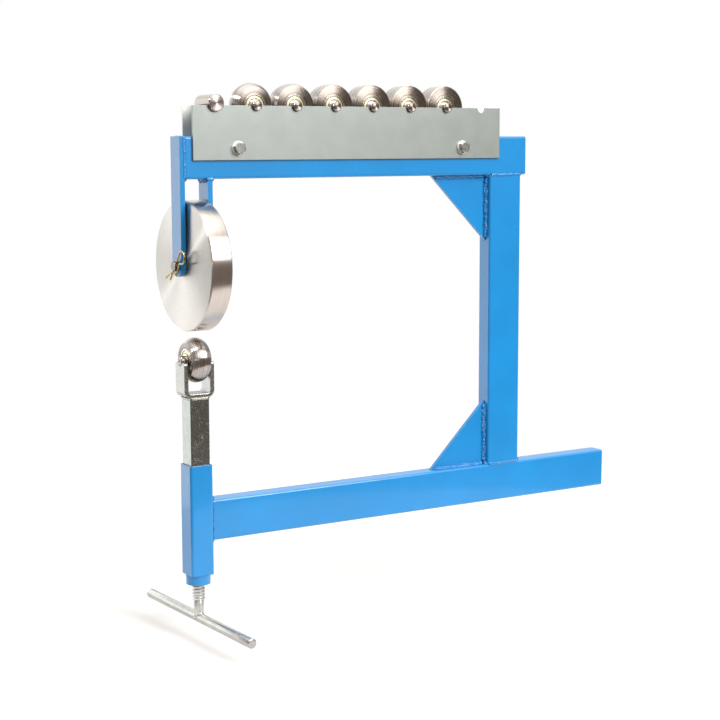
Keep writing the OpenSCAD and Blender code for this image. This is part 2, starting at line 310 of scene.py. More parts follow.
def grain(tree: Tree, layers: Sequence[tuple[float, float]], edge_round: float = 0.0) -> Socket:
    """Makes a bumped normal from layers of noise over softly rounded edges.

    Args:
        tree: The material's node tree.
        layers: Size and height of each layer in millimetres.
        edge_round: Radius of the edges in millimetres, or 0 to leave them sharp.

    Returns:
        The normal socket.
    """
    normal = rounded(tree, edge_round) if edge_round > 0 else None
    for size, height in layers:
        normal = bumped(tree, pattern(tree, size, 3.0), height, normal)
    return normal


def turned_place(tree: Tree, axis: Axis, size: Sequence[float]) -> tuple[Socket, Socket]:
    """Finds how far a point of a turned piece is from its axis, and along it.

    Args:
        tree: The material's node tree.
        axis: Direction of the piece's centre line.
        size: Size of the piece's box in metres.

    Returns:
        Sockets for the radius and for the length along the axis, in metres.
    """
    place = add_node(tree, "ShaderNodeTexCoord").outputs["Generated"]
    centred = add_node(tree, "ShaderNodeVectorMath", {0: place, 1: (0.5, 0.5, 0.5)}, operation="SUBTRACT")
    real = add_node(tree, "ShaderNodeVectorMath", {0: centred.outputs[0], 1: tuple(size)},
                    operation="MULTIPLY")
    parts = add_node(tree, "ShaderNodeSeparateXYZ", {0: real.outputs[0]})
    across = [parts.outputs[letter] for letter in "XYZ" if letter != axis.value]
    squares = [maths(tree, "MULTIPLY", part, part) for part in across]
    return maths(tree, "SQRT", maths(tree, "ADD", *squares)), parts.outputs[axis.value]


def radial_tangent(tree: Tree, axis: Axis) -> Socket:
    """Gives the tangent that runs round an axis."""
    return add_node(tree, "ShaderNodeTangent", direction_type="RADIAL", axis=axis.value).outputs[0]


# ---------------------------------------------------------------- finishes


# Range of noise that is spread over a finish's whole variation
MIDDLE = (0.3, 0.7)
# Part of a normal along the axis at which a turned piece's rim becomes its face
RIM_TO_FACE = (0.78, 0.95)
# Turn of a stretched highlight that puts it across the rings left by the lathe
ACROSS_RINGS = 0.25


@dataclass(frozen=True)
class Finish:
    """A surface finish: what is common to every material here."""

    name: str
    colour: str

    def material(self) -> bpy.types.Material:
        """Gives the finish's material, and builds it the first time."""
        made = bpy.data.materials.get(self.name)
        if made is None:
            made = bpy.data.materials.new(self.name)
            made.use_nodes = True
            feed(made.node_tree, made.node_tree.nodes["Principled BSDF"], self.dress(made.node_tree))
        return made

    def dress(self, tree: Tree) -> Inputs:
        """Adds the finish's own nodes to a new material.

        Args:
            tree: The material's node tree.

        Returns:
            The main shader's inputs.
        """
        raise NotImplementedError


@dataclass(frozen=True)
class GlossEnamel(Finish):
    """Stoved gloss enamel on steel: a deep even colour under a clear skin that mirrors the studio."""

    peel: float = 0.012
    grit: float = 0.004
    roughness: float = 0.32
    skin: float = 0.06
    skin_share: float = 0.5
    skin_ior: float = 1.5
    drift_size: float = 70
    dust_size: float = 2.2
    edge_round: float = 0.7

    def dress(self, tree: Tree) -> Inputs:
        """Adds the even blue, the orange peel and the glossy skin.

        Args:
            tree: The material's node tree.

        Returns:
            The main shader's inputs.
        """
        drift = remap(tree, pattern(tree, self.drift_size, 2.0), MIDDLE, (0.93, 1.05))
        dust = remap(tree, pattern(tree, self.dust_size, 4.0), (0.3, 0.75), (0.97, 1.03))
        colour = shaded(tree, hex_colour(self.colour), maths(tree, "MULTIPLY", drift, dust))
        # Orange peel about 2 mm across, and a fine powder grit inside it
        normal = grain(tree, [(2.4, self.peel), (0.7, self.grit)], self.edge_round)
        return {"Base Color": colour, "Roughness": self.roughness, "Normal": normal, "Coat Normal": normal,
                "Coat Weight": self.skin_share, "Coat Roughness": self.skin, "Coat IOR": self.skin_ior}


@dataclass(frozen=True)
class SatinZinc(Finish):
    """Zinc-plated sheet steel: a dull green-grey with soft spangle, and rolled grain along its length."""

    dark: str = "8F9591"
    roughness: float = 0.47
    roughness_spread: float = 0.05
    grain_size: float = 0.8
    grain_stretch: Point = (0.25, 1.0, 1.0)
    grain_depth: float = 0.003
    spangle_size: float = 22
    edge_round: float = 0.4

    def dress(self, tree: Tree) -> Inputs:
        """Adds the mottled grey, the rolled grain and the passivated sheen.

        Args:
            tree: The material's node tree.

        Returns:
            The main shader's inputs.
        """
        rolled = pattern(tree, self.grain_size, 4.0, self.grain_stretch)
        spangle = blotches(tree, self.spangle_size, self.colour, self.dark, detail=5.0)
        rough = (self.roughness - self.roughness_spread, self.roughness + self.roughness_spread)
        return {"Metallic": 1.0,
                "Base Color": shaded(tree, spangle, remap(tree, rolled, MIDDLE, (0.975, 1.02))),
                "Roughness": remap(tree, rolled, MIDDLE, rough),
                "Normal": bumped(tree, rolled, self.grain_depth, rounded(tree, self.edge_round))}


@dataclass(frozen=True)
class TurnedSteel(Finish):
    """Steel turned in a lathe: rings on its faces that spread highlights into a bow tie, and a rim
    ground across its width, with long soft bands in its reflections. Its size is in metres."""

    axis: Axis = Axis.X
    size: Point = (1.0, 1.0, 1.0)
    # Colour of the faces: a copy of the rim's steel, darker on the wheel and the anvils as painted shade
    shaded_face_colour: str = "DAD6D0"
    ring_pitch: float = 0.7
    ring_height: float = 0.004
    rim_depth: float = 0.08
    roughness: float = 0.22
    face_roughness: float = 0.42
    anisotropy: float = 0.94
    ring_shade: float = 0.04
    stain_size: float = 26

    def dress(self, tree: Tree) -> Inputs:
        """Adds turned rings on the faces, grinding lines on the rim and the stretched highlight.

        Args:
            tree: The material's node tree.

        Returns:
            The main shader's inputs.
        """
        radius, along = turned_place(tree, self.axis, self.size)
        # The normal tells a face from the rim
        normal = add_node(tree, "ShaderNodeTexCoord").outputs["Normal"]
        facing = add_node(tree, "ShaderNodeSeparateXYZ", {0: normal}).outputs[self.axis.value]
        is_face = remap(tree, maths(tree, "ABSOLUTE", facing), RIM_TO_FACE)
        # Cutting rings follow the radius on a face and the width on the rim
        track = maths(tree, "MULTIPLY", mix(tree, is_face, along, radius), per_mm(self.ring_pitch))
        rings = add_node(tree, "ShaderNodeTexNoise", {"W": track, "Scale": 1.0, "Detail": 1.0},
                         noise_dimensions="1D").outputs["Fac"]
        # Besides their bumps and gloss, the rings lighten and darken the colour itself: painted highlight and
        # shade of the cutting rings
        lines = remap(tree, rings, MIDDLE, (1 - self.ring_shade, 1 + self.ring_shade))
        stain = remap(tree, pattern(tree, self.stain_size, 3.0), MIDDLE, (0.95, 1.03))
        # The faces take their own colour: the same steel, with painted shade on the wheel's and anvils' faces
        # and painted light on the wheel's rim
        steel = mix(tree, is_face, hex_colour(self.colour), hex_colour(self.shaded_face_colour), colour=True)
        rough = remap(tree, is_face, after=(self.roughness, self.face_roughness))
        # The rim is ground, so its lines are far shallower than the rings on a face
        height = maths(tree, "MULTIPLY", rings, remap(tree, is_face, after=(self.rim_depth, 1.0)))
        bump = add_node(tree, "ShaderNodeBump", {"Height": height, "Strength": 1.0, "Filter Width": 1.0,
                                                 "Distance": self.ring_height * MM})
        return {"Metallic": 1.0, "Anisotropic": self.anisotropy, "Anisotropic Rotation": ACROSS_RINGS,
                "Base Color": shaded(tree, steel, maths(tree, "MULTIPLY", stain, lines)),
                "Roughness": maths(tree, "MULTIPLY", rough, lines),
                "Normal": bump.outputs["Normal"], "Tangent": radial_tangent(tree, self.axis)}


@dataclass(frozen=True)
class BearingSteel(Finish):
    """Shielded ball bearing: bright ground races, a dark line each side painted as the shade in the gap
    between shield and race, and a pale shield whose yellow tint is a painted warm reflection. Its size is in
    metres."""

    axis: Axis = Axis.X
    size: Point = (1.0, 1.0, 1.0)
    shield: str = "D9CFA6"
    painted_gap_shade: str = "2E2A26"
    inner_race: float = 8.4
    outer_race: float = 12.0
    painted_gap_shade_width: float = 0.5

    def dress(self, tree: Tree) -> Inputs:
        """Adds the rings of colour and gloss by distance from the bearing's axis.

        Args:
            tree: The material's node tree.

        Returns:
            The main shader's inputs.
        """
        reach = max(self.size) / 2
        share = maths(tree, "MULTIPLY", turned_place(tree, self.axis, self.size)[0], 1 / reach)
        inner, outer, line = (r * MM / reach for r in (self.inner_race, self.outer_race, self.painted_gap_shade_width))
        # The dark gap rings are painted shade where the shield meets the races; the shield's yellow is a
        # painted warm reflection
        race, groove, cover = (self.colour, 0.2), (self.painted_gap_shade, 0.5), (self.shield, 0.42)
        stops = ((0.0, race), (inner - line / 2, groove), (inner + line, cover), (outer - line, groove),
                 (outer + line / 2, race))
        strips = []
        for pick in (lambda look: hex_colour(look[0]), lambda look: (look[1], look[1], look[1], 1.0)):
            ramp = add_node(tree, "ShaderNodeValToRGB", {"Fac": share})
            ramp.color_ramp.interpolation = "CONSTANT"
            while len(ramp.color_ramp.elements) < len(stops):
                ramp.color_ramp.elements.new(0.5)
            for element, (position, look) in zip(ramp.color_ramp.elements, stops):
                element.position = min(position, 1.0)
                element.color = pick(look)
            strips.append(ramp.outputs["Color"])
        return {"Metallic": 1.0, "Anisotropic": 0.7, "Anisotropic Rotation": ACROSS_RINGS,
                "Base Color": strips[0], "Roughness": strips[1],
                "Normal": grain(tree, [(1.2, 0.002)], edge_round=0.25),
                "Tangent": radial_tangent(tree, self.axis)}


@dataclass(frozen=True)
class BrightPlate(Finish):
    """Plated steel: a pale mirror, clouded and pitted where the section underneath was rough."""

    dark: str = "B4B5B0"
    roughness: float = 0.16
    cloud: float = 9.0
    pits: float = 0.02
    edge_round: float = 0.6
    specks: float = 0.0
    speck_size: float = 0.8
    patch_size: float = 14
    wipe_size: float = 2.5

    def dress(self, tree: Tree) -> Inputs:
        """Adds the clouds, the fine pits and the uneven gloss.

        Args:
            tree: The material's node tree.

        Returns:
            The main shader's inputs.
        """
        wiped = (self.roughness * 0.8, self.roughness * 1.35)
        rough = remap(tree, pattern(tree, self.wipe_size, 6.0), (0.35, 0.7), wiped)
        if self.specks > 0:
            # Sparse dull specks, gathered in patches, catch the key light
            spots = maths(tree, "ADD", pattern(tree, self.speck_size, 1.0),
                          pattern(tree, self.patch_size, 2.0))
            rough = mix(tree, remap(tree, spots, (1.17, 1.27)), rough, self.specks)
        return {"Metallic": 1.0, "Roughness": rough,
                "Base Color": blotches(tree, self.cloud, self.colour, self.dark, detail=5.0),
                "Normal": grain(tree, [(3.0, self.pits), (0.9, self.pits * 0.3)], self.edge_round)}


# Blue stoved enamel: strong even blue, white mirror streaks on the tube's round edges
ENAMEL = GlossEnamel("blue_stoved_enamel", "007AB9")
# The same enamel over weld metal, its blue painted a little darker as painted shade in the bead's grooves;
# heavier lumps break its highlights into sparks
SHADED_WELD_ENAMEL = GlossEnamel("blue_enamel_over_weld_painted_shade", "0070AE", peel=0.12, grit=0.04, roughness=0.4, skin=0.16)
# Passivated zinc on sheet: soft green-grey satin
ZINC_SHEET = SatinZinc("satin_zinc_plated_sheet", "949A96")
# The far plate, which the lights hardly reach: the same zinc painted paler as painted light, and duller
ZINC_SHEET_PAINTED_LIGHTER = SatinZinc("zinc_sheet_painted_lighter", "D6DAD4", dark="CDD1CB", roughness=0.62)
# Bright zinc on small fasteners
ZINC_FASTENER = BrightPlate("bright_zinc_fastener", "CFD0CB", dark="BBBCB7", roughness=0.33, cloud=4.0,
                            pits=0.003, edge_round=0.2)
# The same zinc on bolts and nuts: greyer, with a dull face inside a bright chamfer
ZINC_BOLT = BrightPlate("zinc_plated_bolt", "9D9E99", dark="92938E", roughness=0.3, cloud=4.0, pits=0.002,
                        edge_round=0.25)
# Chromed square tube: dark mottled mirror on the side away from the light
CHROME_RAM = BrightPlate("plated_square_tube", "9A9F9B", dark="90948F", roughness=0.16, cloud=8.0,
                         pits=0.006, specks=0.42)
# Bright plate on the handle and the screw
HANDLE_PLATE = BrightPlate("bright_plated_bar", "B7B7B3", dark="ACACA8", roughness=0.22, cloud=14.0,
                           pits=0.008, edge_round=0.4)
# The same plate on the cut screw, painted lighter than the bar's as painted light, and dulled by its use
LIGHTENED_SCREW_PLATE = BrightPlate("plated_cut_screw_painted_light", "CFCFCB", dark="BDBDB9", roughness=0.36, cloud=8.0,
                          pits=0.006, edge_round=0.3)
# Yellow passivated zinc on spring wire
YELLOW_ZINC = BrightPlate("yellow_zinc_wire", "B59F63", dark="9A8350", roughness=0.2, cloud=3.0,
                          pits=0.006, edge_round=0.0)
# Cold-drawn pin, painted a dull brown-grey as painted shade for the dark room its end mirrors, so the clip
# stands out on it
DARKENED_PIN_STEEL = BrightPlate("pin_steel_painted_dark", "7C756E", dark="67615B", roughness=0.3, cloud=3.0, pits=0.004,
                        edge_round=0.3)
# Washers: whiter and duller than the bolts
ZINC_WASHER = BrightPlate("dull_zinc_washer", "EDEDE9", dark="DEDEDA", roughness=0.5, cloud=5.0, pits=0.003,
                          edge_round=0.2)
# Plated strap: brighter than the ram, with soft clouds
YOKE = BrightPlate("plated_yoke_strap", "A3A4A0", dark="9B9C98", roughness=0.26, cloud=12.0, pits=0.006,
                   edge_round=1.8)
# Plated weld metal: lumpy, and a little yellower than the strap
PLATED_WELD = BrightPlate("plated_weld_metal", "C8C7C1", dark="A5A39C", roughness=0.3, cloud=3.0,
                          pits=0.06, edge_round=0.0)
# Bright drawn bar, faced in a lathe: sharp reflections along it, rings on its ends
AXLE = {axis: TurnedSteel(f"bright_axle_steel_{axis.value.lower()}", "958E88", axis=axis,
                          size=tuple(axis.place(0.040, 0.012, 0.012)), shaded_face_colour="958E88",
                          ring_pitch=1.5, ring_height=0.01, roughness=0.16, face_roughness=0.3)
        for axis in (Axis.X, Axis.Y)}


# ---------------------------------------------------------------- mesh helpers


def make_piece(name: str, mesh_data: Mesh, finish: Finish, body: str, smooth_below: float = 35.0,
               stands_for: str | None = None) -> None:
    """Makes a mesh piece that rides on a body.

    Args:
        name: Name of the piece.
        mesh_data: Its vertices in metres, in the frame, and its faces.
        finish: Its surface finish.
        body: Body that it rides on.
        smooth_below: Edges flatter than this angle are shaded smooth.
        stands_for: CAD node that it replaces, if any.
    """
    points, faces = mesh_data
    mesh = bpy.data.meshes.new(name)
    mesh.from_pydata([tuple(p) for p in points], [], [tuple(f) for f in faces])
    mesh.validate()
    mesh.materials.append(finish.material())
    mesh.polygons.foreach_set("use_smooth", [True] * len(mesh.polygons))
    mesh.set_sharp_from_angle(angle=math.radians(smooth_below))
    piece = bpy.data.objects.new(name, mesh)
    bpy.context.scene.collection.objects.link(piece)
    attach(piece, body)
    if stands_for is not None:
        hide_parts(stands_for)
    log.info("%s made of %s", name, finish.name)


def dress_node(node: str, finish: Finish) -> None:
    """Gives every slot of a CAD node's object the finish's material.

    Args:
        node: The CAD node.
        finish: Its surface finish.
    """
    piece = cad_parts[node]
    if not piece.material_slots:
        piece.data.materials.append(finish.material())
    for slot in piece.material_slots:
        slot.material = finish.material()
    log.info("%s dressed in %s", node, finish.name)


def dress_bearings(wheel: str, axis: Axis) -> None:
    """Dresses the outer and inner races of a wheel's bearings.

    Args:
        wheel: Node of the wheel.
        axis: Direction of its centre line.
    """
    letter = axis.value.lower()
    outer = Box.of(f"{wheel}_outer_races").size
    inner = Box.of(f"{wheel}_inner_races").size
    width = max(outer) / MM
    # Each size of bearing has its own rings, so it has its own copy of the finish
    dress_node(f"{wheel}_outer_races", BearingSteel(f"shielded_bearing_{round(width)}_{letter}", "C9C4BC",
                                                    axis=axis, size=tuple(outer), outer_race=width / 2 - 2))
    dress_node(f"{wheel}_inner_races", BearingSteel(f"ground_inner_race_{letter}", "D3CEC6", axis=axis,
                                                    size=tuple(inner)))


def arc(centre: tuple[float, float], radius: float, start: float, end: float, steps: int) -> Profile:
    """Gives points along an arc of a profile.

    Args:
        centre: Centre of the arc.
        radius: Its radius.
        start: First angle in degrees.
        end: Last angle in degrees.
        steps: Number of stretches.

    Returns:
        The points, both ends included.
    """
    angles = [math.radians(start + (end - start) * i / steps) for i in range(steps + 1)]
    return [(centre[0] + radius * math.cos(a), centre[1] + radius * math.sin(a)) for a in angles]


def loft(rings: Iterable[Ring], closed: bool = False, turned: bool = False) -> Mesh:
    """Skins rings of points, one after the other.

    Args:
        rings: The rings. A ring of one point is a tip.
        closed: True to join the last ring to the first.
        turned: True to wind the faces the other way.

    Returns:
        Vertices and faces.
    """
    rings = list(rings)
    around = max(len(ring) for ring in rings)
    points: list[Vector] = []
    rows: list[list[int]] = []
    for ring in rings:
        rows.append([len(points) + k % len(ring) for k in range(around)])
        points.extend(ring)
    faces: list[list[int]] = []
    for low, high in zip(rows, rows[1:] + (rows[:1] if closed else [])):
        for k in range(around):
            n = (k + 1) % around
            corners = (low[k], high[k], high[n], low[n]) if turned else (low[k], low[n], high[n], high[k])
            face = list(dict.fromkeys(corners))
            if len(face) > 2:
                faces.append(face)
    return points, faces


def solid(rings: list[Ring]) -> Mesh:
    """Skins rings of points, and closes both ends with a flat face.

    Args:
        rings: The rings, all of one size.

    Returns:
        Vertices and faces.
    """
    points, faces = loft(rings)
    size = len(rings[0])
    faces.append(list(range(size))[::-1])
    faces.append(list(range(len(points) - size, len(points))))
    return points, faces


def join(parts: Iterable[Mesh]) -> Mesh:
    """Gathers several meshes into one.

    Args:
        parts: The meshes.

    Returns:
        Vertices and faces.
    """
    points: list[Vector] = []
    faces: list[list[int]] = []
    for part_points, part_faces in parts:
        shift = len(points)
        points.extend(part_points)
        faces.extend([i + shift for i in face] for face in part_faces)
    return points, faces


def ring_about(axis: Axis, centre: Vector, along: float, radii: Sequence[float]) -> Ring:
    """Gives points round an axis, at a length along it in metres, with one radius for each."""
    turns = [math.tau * k / len(radii) for k in range(len(radii))]
    return [centre + axis.place(along, r * math.cos(t), r * math.sin(t)) for r, t in zip(radii, turns)]


def lathe(profile: Profile, axis: Axis, centre: Vector, segments: int, closed: bool = False) -> Mesh:
    """Turns a profile about an axis.

    Args:
        profile: Pairs of length along the axis and radius, in millimetres.
        axis: Direction of the centre line.
        centre: Point that the profile is measured from.
        segments: Number of stretches round the axis.
        closed: True when the profile is a ring section, False when it starts and ends on the axis.

    Returns:
        Vertices and faces.
    """
    rings = [ring_about(axis, centre, along * MM, [radius * MM] * (segments if radius > 0 else 1))
             for along, radius in profile]
    return loft(rings, closed=closed, turned=True)


def mirrored(side: Profile) -> Profile:
    """Adds the other half to one half of a profile, without doubling a point in the middle."""
    rest = side[:-1] if abs(side[-1][0]) < 1e-6 else side
    return side + [(-along, radius) for along, radius in reversed(rest)]


def lump(x: float, y: float, z: float) -> float:
    """Gives smooth noise about 0 at a place."""
    return noise.noise(Vector((x, y, z)))


def lay_run(start: Vector, end: Vector, step: float, section: Callable[[float, float], Ring]) -> Mesh:
    """Lays a straight run of weld.

    Args:
        start: Where the run starts.
        end: Where it ends.
        step: Distance between its sections in millimetres.
        section: Gives the offsets round it, from the distance along it and its length in millimetres.

    Returns:
        Vertices and faces.
    """
    length = (end - start).length / MM
    count = max(8, int(length / step))
    return solid([[start.lerp(end, i / count) + offset for offset in section(i * length / count, length)]
                  for i in range(count + 1)])


@dataclass(frozen=True)
class WeldBead:
    """Fillet weld laid by hand: overlapping ripples, uneven in width, tapering at both ends."""

    leg: float = 4.0
    ripple: float = 2.3
    ripple_height: float = 0.16
    ripple_lag: float = 1.4
    step: float = 0.5
    plumpness: float = 0.84
    end_size: float = 0.35
    section_points: int = 9
    roughness: float = 0.38
    sink: float = 0.5

    def build(self, start: Vector, end: Vector, side_a: Vector, side_b: Vector, seed: float) -> Mesh:
        """Lays a straight bead in a corner.

        Args:
            start: Where the bead starts, in the corner.
            end: Where it ends.
            side_a: Unit vector from the corner along the first surface.
            side_b: Unit vector from the corner along the second surface.
            seed: Shifts the noise, so no two beads are alike.

        Returns:
            Vertices and faces.
        """
        return lay_run(start, end, self.step,
                       lambda s, length: self.section(s, length, side_a, side_b, seed))

    def round(self, centre: Vector, radius: float, up: Vector, seed: float) -> Mesh:
        """Lays a bead round an upright cylinder that stands out below or above a flat face.

        Args:
            centre: Point on the cylinder's axis, level with the face.
            radius: Radius of the cylinder in metres.
            up: Unit vector from the face along the cylinder.
            seed: Shifts the noise.

        Returns:
            Vertices and faces.
        """
        length = math.tau * radius / MM
        count = int(length / self.step)
        rings = []
        for i in range(count):
            out = Vector((math.cos(math.tau * i / count), math.sin(math.tau * i / count), 0))
            section = self.section(i * length / count, -1, out, up, seed)
            rings.append([centre + out * radius + offset for offset in section])
        return loft(rings, closed=True)

    def section(self, s: float, length: float, side_a: Vector, side_b: Vector, seed: float) -> Ring:
        """Gives the bead's outline at a place along it.

        Args:
            s: Distance along the bead in millimetres.
            length: Its whole length, or -1 for a bead that closes on itself.
            side_a: Direction along the first surface.
            side_b: Direction along the second surface.
            seed: Shifts the noise.

        Returns:
            Offsets from the corner, in metres.
        """
        taper = 1.0
        if length > 0:
            grown = min(1.0, min(s, length - s) / self.leg)
            taper = self.end_size + (1 - self.end_size) * math.sin(grown * math.pi / 2)
        offsets = [(side_a + side_b) * (-self.sink * MM)]
        for k in range(self.section_points):
            turn = k / (self.section_points - 1)
            angle = turn * math.pi / 2
            bow = math.sin(turn * math.pi)
            # The ripples run ahead in the middle of the bead, and wander a little
            ahead = self.ripple_lag * bow + 0.8 * lump(s / 3.0, seed, 2.0)
            crest = abs(math.sin((s + ahead) / self.ripple * math.pi))
            # Lumps about 6, 2 and 1 mm long, each layer shallower than the last
            uneven = (lump(s / 6.0, turn * 1.3, seed) + 0.7 * lump(s / 2.2, turn * 3.0, seed + 9)
                      + 0.35 * lump(s / 0.9, turn * 6.0, seed + 20) * bow)
            reach = self.leg * taper * (1 + self.roughness * uneven)
            bulge = 1 - (1 - self.plumpness) * bow + self.ripple_height * crest * bow
            offsets.append((side_a * math.cos(angle) + side_b * math.sin(angle)) * (reach * bulge * MM))
        return offsets


@dataclass(frozen=True)
class CoverBead:
    """Weld run laid over a flush joint: a low, wide, wandering ridge."""

    width: float = 4.4
    height: float = 0.85
    ripple: float = 2.6
    step: float = 0.5
    sink: float = 0.4
    foot: float = 0.8
    section_points: int = 11

    def build(self, start: Vector, end: Vector, out: Vector, seed: float) -> Mesh:
        """Lays the run along a joint.

        Args:
            start: Where the run starts, on the surface.
            end: Where it ends.
            out: Unit vector away from the surface.
            seed: Shifts the noise.

        Returns:
            Vertices and faces.
        """
        across = out.cross((end - start).normalized())

        def section(s: float, length: float) -> Ring:
            """Gives the low dome at a place along the run.

            Args:
                s: Distance along the run in millimetres.
                length: Its whole length, which the dome doesn't depend on.

            Returns:
                Offsets from the joint, in metres.
            """
            wander = 0.9 * lump(s / 9.0, seed, 0.0)
            half = self.width / 2 * (1 + 0.25 * lump(s / 4.0, seed, 4.0))
            ring = []
            for k in range(self.section_points):
                t = 2 * k / (self.section_points - 1) - 1
                uneven = lump(s / 2.4, t * 1.6, seed + 3) + 0.6 * lump(s / 1.1, t * 3.0, seed + 7)
                scallop = abs(math.sin(math.pi * (s + 1.5 * t * t) / self.ripple))
                rise = self.height * (1 - t * t) * (0.66 + 0.24 * scallop + 0.45 * uneven)
                ring.append(across * ((wander + half * t) * MM) + out * (max(rise, -0.2) * MM))
            ring += [across * (side * half * self.foot * MM) - out * (self.sink * MM) for side in (1, -1)]
            return ring

        return lay_run(start, end, self.step, section)


@dataclass(frozen=True)
class Thread:
    """Right-hand screw thread cut on a round rod."""

    pitch: float
    depth: float
    crest: float
    segments: int = 48
    lead: float = 1.0
    flank: float = 0.35
    end_depth: float = 0.35
    sections_per_pitch: int = 16

    def cut(self, centre: Vector, axis: Axis, start: float, end: float, radius: float,
            plain_until: float | None = None) -> Mesh:
        """Makes a rod with a true helical thread.

        Args:
            centre: Point on the rod's axis.
            axis: Direction of the rod.
            start: Where it starts along the axis, in metres.
            end: Where it ends.
            radius: Outside radius in millimetres.
            plain_until: Where the thread starts along the axis, or None when it is threaded throughout.

        Returns:
            Vertices and faces.
        """
        length = (end - start) / MM
        plain = 0.0 if plain_until is None else (plain_until - start) / MM
        middle = axis.part(centre)

        def ring(s: float, radii: Sequence[float]) -> Ring:
            """Places radii in millimetres at a distance from the rod's start."""
            return ring_about(axis, centre, start - middle + s * MM, [r * MM for r in radii])

        def threaded(s: float) -> list[float]:
            """Gives the radii round the rod.

            Args:
                s: Distance from the rod's start in millimetres.

            Returns:
                One radius for each point round it, in millimetres.
            """
            past = s - plain
            grown = min(1.0, max(0.0, past / self.lead))
            grown *= min(1.0, max(0.0, (length - s) / self.lead) + self.end_depth)
            turns = [k / self.segments for k in range(self.segments)]
            ramps = [abs((past / self.pitch - turn) % 1.0 - 0.5) * 2 for turn in turns]
            grooves = [min(1.0, max(0.0, (ramp - (1 - self.crest)) / self.flank)) for ramp in ramps]
            return [radius - self.depth * groove * grown for groove in grooves]

        stops = [0.0] if plain_until is None else [0.0, plain - 0.2]
        first = stops[-1]
        count = max(2, int((length - first) / (self.pitch / self.sections_per_pitch)))
        stops += [first + (length - first) * k / count for k in range(1, count)]
        faced = [radius - self.depth - 0.2] * self.segments
        return loft([ring(0.0, [0.0]), *(ring(s, threaded(s)) for s in stops), ring(length, faced),
                     ring(length, [0.0])])


# ---------------------------------------------------------------- sub-assemblies


